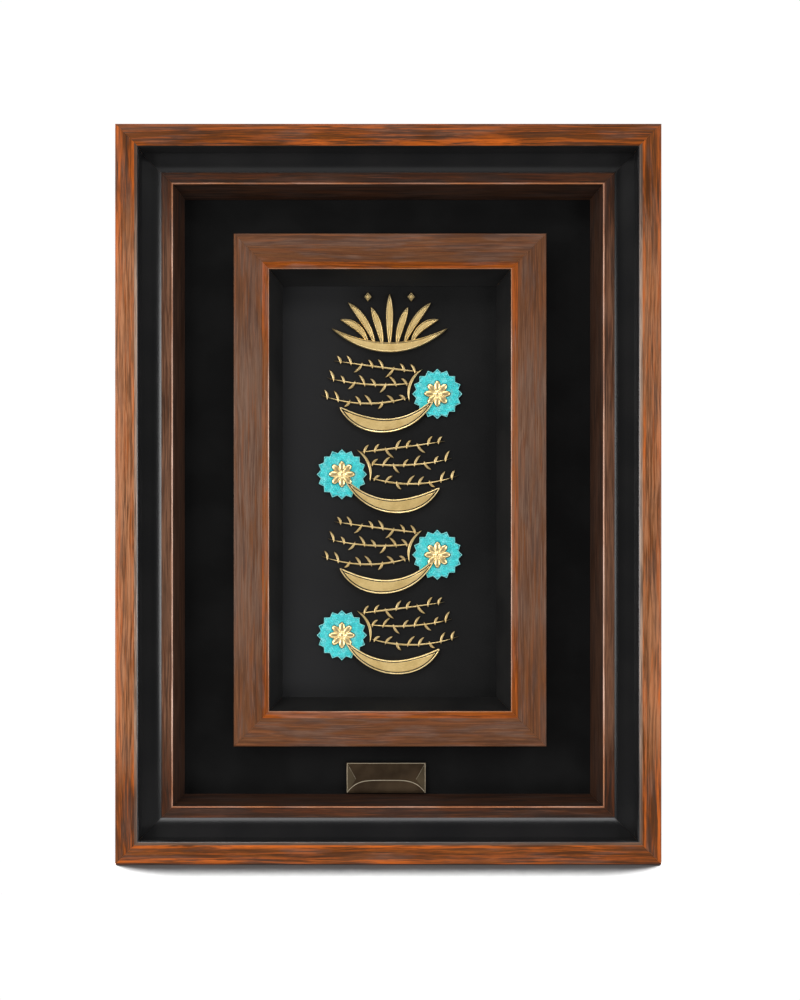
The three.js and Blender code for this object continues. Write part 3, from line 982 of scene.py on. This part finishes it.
def sweep_section(half, t):
    open_share = share(half, sweep_rim, sweep_rim + groove)
    phase = (t / bridge_pitch) % 1
    bridge = 1 if phase < bridge_share or t < first_groove else 0
    low = rim_height - open_share * (1 - bridge * 0.8) * (rim_height - groove_height)
    cap = math.sqrt(max(1 - share(t, field_end - 0.10, field_end) ** 2, 0))
    field_half = max(half - sweep_rim - groove, 0) * cap
    field_open = share(field_half, 0, 0.5)
    field_edge = low + (sweep_up - 0.35 - low) * field_open
    crown = low + (sweep_up - low) * field_open
    rim = [
        (0, 0.0),
        (0, rim_height - 0.5),
        (0.2, rim_height - 0.12),
        (0.45, rim_height),
        (0.75, rim_height - 0.1),
        (sweep_rim, rim_height - 0.3 * open_share),
        (sweep_rim + 0.05, low),
    ]
    inner_part = [
        (field_half + 0.04 * open_share, low),
        (field_half, field_edge),
        (max(field_half - 0.3, 0), crown - 0.1 * field_open),
        (field_half * 0.5, crown - 0.03),
        (0, crown),
    ]
    return section_of(half, rim, inner_part)


left_finishes = [GOLD_RIM] * 5 + [BLACK] * 3 + [GOLD_RIM] + [GOLD_FIELD] * 2
sweep_finish = left_finishes + left_finishes[::-1]


def add_flower(shape, centre):
    """Eight domed petals round a button, with a low dark edge that sets them off from the star."""
    steps = 96
    button_end = 0.24
    edge_up = over_star + 0.35
    shares = [0.10, 0.17, 0.22, 0.26, 0.34, 0.45, 0.58, 0.70, 0.80, 0.88, 0.93, 0.95]
    dark_edge = [(0.95, edge_up), (1.0, edge_up), (1.0, over_star)]
    rings = []
    for size, level in [(size, None) for size in shares] + dark_edge:
        corners = []
        for i in range(steps):
            angle = i / steps * 2 * math.pi
            petal = abs(math.cos(4 * angle))
            edge = (flower_waist + (flower_radius - flower_waist) * petal) * size
            if size < button_end:
                edge = flower_waist * 1.2 * size
                up = flower_up - 0.9 * (size / 0.26) ** 2
            elif level is None:
                dome = math.sqrt(max(1 - ((size - 0.60) / 0.37) ** 2, 0))
                up = over_star + 0.75 + (flower_up - over_star - 1.1) * dome * (0.30 + 0.70 * petal**0.8)
            else:
                up = level
            x, y = centre.x + edge * math.cos(angle), centre.y + edge * math.sin(angle)
            corners.append(shape.corner(x, y, up))
        rings.append(corners)
    top = shape.corner(centre.x, centre.y, flower_up)
    for i in range(steps):
        shape.face((rings[0][i], rings[0][(i + 1) % steps], top), GOLD_RIM)
    shape.belts(rings[::-1], [BLACK] * 2 + [GOLD_RIM] * len(shares))
    shape.face(rings[-1][::-1], BLACK)


gold_finishes = [brushed_gold, polished_gold, blackened]
for row in rows:
    shape = Shape()
    curve = bernstein([row.at(*place) for place in sweep_route])
    run_stroke(shape, curve, sweep_width, sweep_peak, sweep_section, 170, sweep_finish, row.ground)
    add_flower(shape, row.star)
    make_piece(f"sweep_relief_{row.number}", shape, gold_finishes, [f"sweep_{row.number}"], RELIEF)
print("sweep corners:", len(shape.corners))

# %% [markdown]
# ## Fine strokes
#
# Above each sweep lie rows of small strokes, no letters among them: a stem that hugs the star, three
# hairlines that leave it, and short bowed strokes across each hairline. They are thin sheet, so a low
# half round section is enough.

# %% Fine strokes
stroke_up = 1.5


def round_section(half, t):
    rounding = [(half * 0.86, 1.12), (half * 0.55, 1.38), (0, stroke_up)]
    return section_of(half, [(0, 0.0), (0, 0.75)], rounding)


round_finish = [0] * 8
hairlines = 3
hairline_reach = 105
hairline_rise = 15.5
ticks = 8
golden_share = 0.618
stem_reach = star_radius + 3.5
first_turn = -0.12
turn_pitch = 0.5
past_line = 0.14
last_turn = first_turn + turn_pitch * (hairlines - 1)
half_turn = (last_turn - first_turn) / 2 + past_line


def on_stem(row, turn):
    return row.at(stem_reach * math.cos(turn), stem_reach * math.sin(turn))


for row in rows:
    shape = Shape()
    stem_bow = row.side * stem_reach * (1 - math.cos(half_turn))
    stem = bowed(on_stem(row, first_turn - past_line), on_stem(row, last_turn + past_line), stem_bow)
    run_stroke(shape, stem, 2.6, 0.5, round_section, 32, round_finish)
    for line in range(hairlines):
        start = on_stem(row, first_turn + turn_pitch * line)
        end = row.at(hairline_reach - 6 * line, hairline_rise * line - 1)
        hairline = bowed(start, end, row.side * (6.5 - 3 * line))
        run_stroke(shape, hairline, 1.7, 0.3, round_section, 56, round_finish)
        for tick in range(ticks):
            t = (tick + 0.5) / ticks
            foot = hairline(t)
            turn = (1 if tick % 3 == 2 else -1) * row.side
            ahead = (hairline(t + 1e-3) - hairline(t - 1e-3)).normalized()
            lean = Matrix.Rotation(turn, 2) @ ahead
            spread = (golden_share * (tick + line * golden_share)) % 1
            reach_out = 5 + 5 * spread * min(1, 0.4 + 2 * t)
            stroke = bowed(foot - lean * 2.6, foot + lean * reach_out, 1.3 * turn)
            run_stroke(shape, stroke, 2.3, 0.5, round_section, 14, round_finish)
    node = f"fine_strokes_{row.number}"
    make_piece(f"fine_relief_{row.number}", shape, [worn_gold], [node], RELIEF)
print("fine stroke corners:", len(shape.corners))

# %% [markdown]
# ## Heading
#
# The heading is a fan of leaf strokes on a boat-shaped one, with two lozenges between the leaves. Their
# polished rims stand a little above the brushed middles.

# %% Heading
heading_half = 52
boat_end = -3
boat_sag = 17
heading_middle = 150
leaf_turn = 0.84
leaf_foot = 19
long_leaf = 48
short_leaf = 38


def boat_height(x):
    return boat_end - boat_sag * (1 - (x / heading_half) ** 2)


def leaf_section(top):
    def section(half, t):
        wide = share(half, 0.8, 1.6)
        rim = [(0, 0.0), (0, top - 1.3), (0.12, top - 0.8), (0.4, top - 0.3), (0.8, top)]
        groove_side = [(1.15, top - 0.1 * wide), (1.35, top - 0.55 * wide)]
        field = [(max(half - 1.6, 0) * 0.8, top - 0.55 * wide), (0, top - 0.3 * wide)]
        return section_of(half, rim + groove_side, field)

    return section


leaf_left = [GOLD_RIM] * 5 + [BLACK] + [GOLD_FIELD] * 2
leaf_finish = leaf_left + leaf_left[::-1]
shape = Shape()
boat = bowed((-heading_half, boat_end), (heading_half, boat_end), -boat_sag)
run_stroke(shape, boat, 9, 0.5, leaf_section(2.8), 110, leaf_finish)
for i in range(-3, 4):
    spread = i / 3
    turn = leaf_turn * spread
    length = (long_leaf if i % 2 == 0 else short_leaf) - 4 * spread**2
    foot = Vector((leaf_foot * spread, boat_height(leaf_foot * spread)))
    leaf = bowed(foot, foot + Vector((math.sin(turn), math.cos(turn))) * length, 5 * spread)
    run_stroke(shape, leaf, 6.4, 0.62, leaf_section(2.4), 56, leaf_finish)
heading_place = shifted(RELIEF, 0, heading_middle)
make_piece("heading_relief", shape, gold_finishes, ["heading_strokes"], heading_place)


def lozenge_shape(half, up):
    shape = Shape()
    rings = []
    for size, level in [(1.0, 0), (1.0, up - 0.7), (0.86, up - 0.1), (0.62, up - 0.1), (0.5, up - 0.5)]:
        corners = [(half * size, 0), (0, 1.2 * half * size), (-half * size, 0), (0, -1.2 * half * size)]
        rings.append([shape.corner(x, y, level) for x, y in corners])
    shape.belts(rings, [GOLD_RIM] * 3 + [BLACK])
    tip = shape.corner(0, 0, up)
    for i in range(4):
        shape.face((rings[-1][i], rings[-1][(i + 1) % 4], tip), GOLD_FIELD)
    shape.face(rings[0][::-1], GOLD_RIM)
    return shape


for side in ("left", "right"):
    low, high = box_in_front(f"heading_lozenge_{side}")
    matrix = shifted(FRONT, (low.x + high.x) / 2, (low.y + high.y) / 2, low.z)
    lozenge = lozenge_shape((high.x - low.x) / 2, high.z - low.z)
    make_piece(f"lozenge_{side}", lozenge, gold_finishes, [f"heading_lozenge_{side}"], matrix)

# %% [markdown]
# ## Small plate
#
# A dark bronze plate lies under the smaller frame. It has a bare champagne outline, a low arch that
# rises from both lower corners, and two short creases from its upper corners. It carries no writing.


# %% Small plate
def bronze(name, deep, hazy):
    paint, place = new_paint(name)
    lines = paint.noise(place.stretched(60, 2400, 2400), detail=3, roughness=0.6)
    cloud = paint.noise(place, scale=60, detail=3)
    colour = paint.mix(cloud.between(0.3, 0.7), deep, hazy)
    bump = paint.bump(lines, 0.03 * MM, 0.4)
    return paint.finish(colour, 0.28 + lines * 0.2, bump, Metallic=0.8)


plate_low, plate_high = box_in_front("name_plate")
plate_size = plate_high - plate_low
PLATE_BODY, PLATE_LINE, PLATE_FACET = range(3)
plate_bevel = 0.45
line_width = 0.5
line_up = 0.18


def add_ridge(shape, points, width, low, up):
    """A thin raised line along a route of points."""
    rows_of = []
    for i, point in enumerate(points):
        before, after = points[max(i - 1, 0)], points[min(i + 1, len(points) - 1)]
        ahead = (after - before).normalized()
        left = Vector((-ahead.y, ahead.x)) * width / 2
        places = [point + left * side for side in (1, 0.6, -0.6, -1)]
        rows_of.append([shape.corner(p.x, p.y, level) for p, level in zip(places, (low, up, up, low))])
    shape.skin(rows_of, [PLATE_LINE] * 3)


shape = Shape()
half_x, half_y, plate_up = plate_size.x / 2, plate_size.y / 2, plate_size.z
face_up = plate_up - line_up
rings = []
for inset, up in [(0, 0), (0, face_up - 0.4), (plate_bevel - 0.15, face_up - 0.05), (plate_bevel, face_up)]:
    rings.append([shape.corner(x * (half_x - inset), y * (half_y - inset), up) for x, y in SQUARE])
shape.belts(rings, [PLATE_BODY] * 3)
shape.face(rings[0][::-1], PLATE_BODY)
bottom_left, bottom_right, top_right, top_left = rings[-1]
facet_run = 8.5
facet_rise = -1.2
ridge_left = shape.corner(facet_run - half_x, facet_rise, face_up - 0.5)
ridge_right = shape.corner(half_x - facet_run, facet_rise, face_up - 0.5)
shape.face((top_left, bottom_left, ridge_left), PLATE_FACET)
shape.face((bottom_right, top_right, ridge_right), PLATE_FACET)
shape.face((bottom_left, bottom_right, ridge_right, ridge_left), PLATE_BODY)
shape.face((ridge_left, ridge_right, top_right, top_left), PLATE_BODY)
edge_x = half_x - plate_bevel - 0.15
edge_y = half_y - plate_bevel - 0.15
outline = [Vector((edge_x * x, edge_y * y)) for x, y in SQUARE[:1] + SQUARE[:0:-1]]
for a, b in zip(outline, outline[1:]):
    add_ridge(shape, [a, b], line_width, face_up - 0.3, plate_up)
arch_top = -2.2
arch_steps = 60
arch_flatness = 4.4
arch = []
for i in range(arch_steps + 1):
    x = 2 * i / arch_steps - 1
    arch.append(Vector((edge_x * x, -edge_y + (edge_y + arch_top) * (1 - abs(x) ** arch_flatness))))
add_ridge(shape, arch, line_width * 1.2, face_up - 0.5, plate_up - 0.05)
for side in (-1, 1):
    crease = [Vector((side * edge_x, edge_y)), Vector((side * (half_x - facet_run), facet_rise))]
    add_ridge(shape, crease, line_width * 0.35, face_up - 0.5, plate_up - 0.15)
plate_middle = (plate_low + plate_high) / 2
plate_matrix = shifted(FRONT, plate_middle.x, plate_middle.y, plate_low.z)
pale_line, paler_line = (0.52, 0.44, 0.30, 1), (0.74, 0.65, 0.48, 1)
champagne = speckled("champagne_line", pale_line, paler_line, 900, 3, 0.5, (0.3, 0.7), (0.35, 0.15), 0.6)
dark_bronze = bronze("dark_bronze", (0.044, 0.027, 0.014, 1), (0.078, 0.050, 0.027, 1))
hazy_bronze = bronze("hazy_bronze", (0.078, 0.058, 0.034, 1), (0.118, 0.088, 0.050, 1))
finishes = [dark_bronze, champagne, hazy_bronze]
make_piece("bronze_plate", shape, finishes, ["name_plate"], plate_matrix)

# %% [markdown]
# ## Hanger
#
# The toothed hanger and its nails keep their CAD shape, and get a zinc finish with the cloudy spangle
# of plated steel.


# %% Hanger
paint, place = new_paint("zinc_steel")
spangle = paint.noise(place, scale=420, detail=2)
scratch = paint.noise(place.stretched(200, 4000, 4000), detail=3)
colour = paint.mix(spangle.between(0.35, 0.65), (0.36, 0.37, 0.38, 1), (0.55, 0.56, 0.57, 1))
rough = 0.32 + spangle * 0.15
bump = paint.bump(scratch, 0.02 * MM, 0.3)
zinc_steel = paint.finish(colour, rough, bump, Metallic=1.0)
for node in ("hanger", "hanger_nail_left", "hanger_nail_right"):
    refinish(node, zinc_steel)

# %% Sizes and end
low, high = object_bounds()
print("visual box in m:", [round(s, 4) for s in high - low])
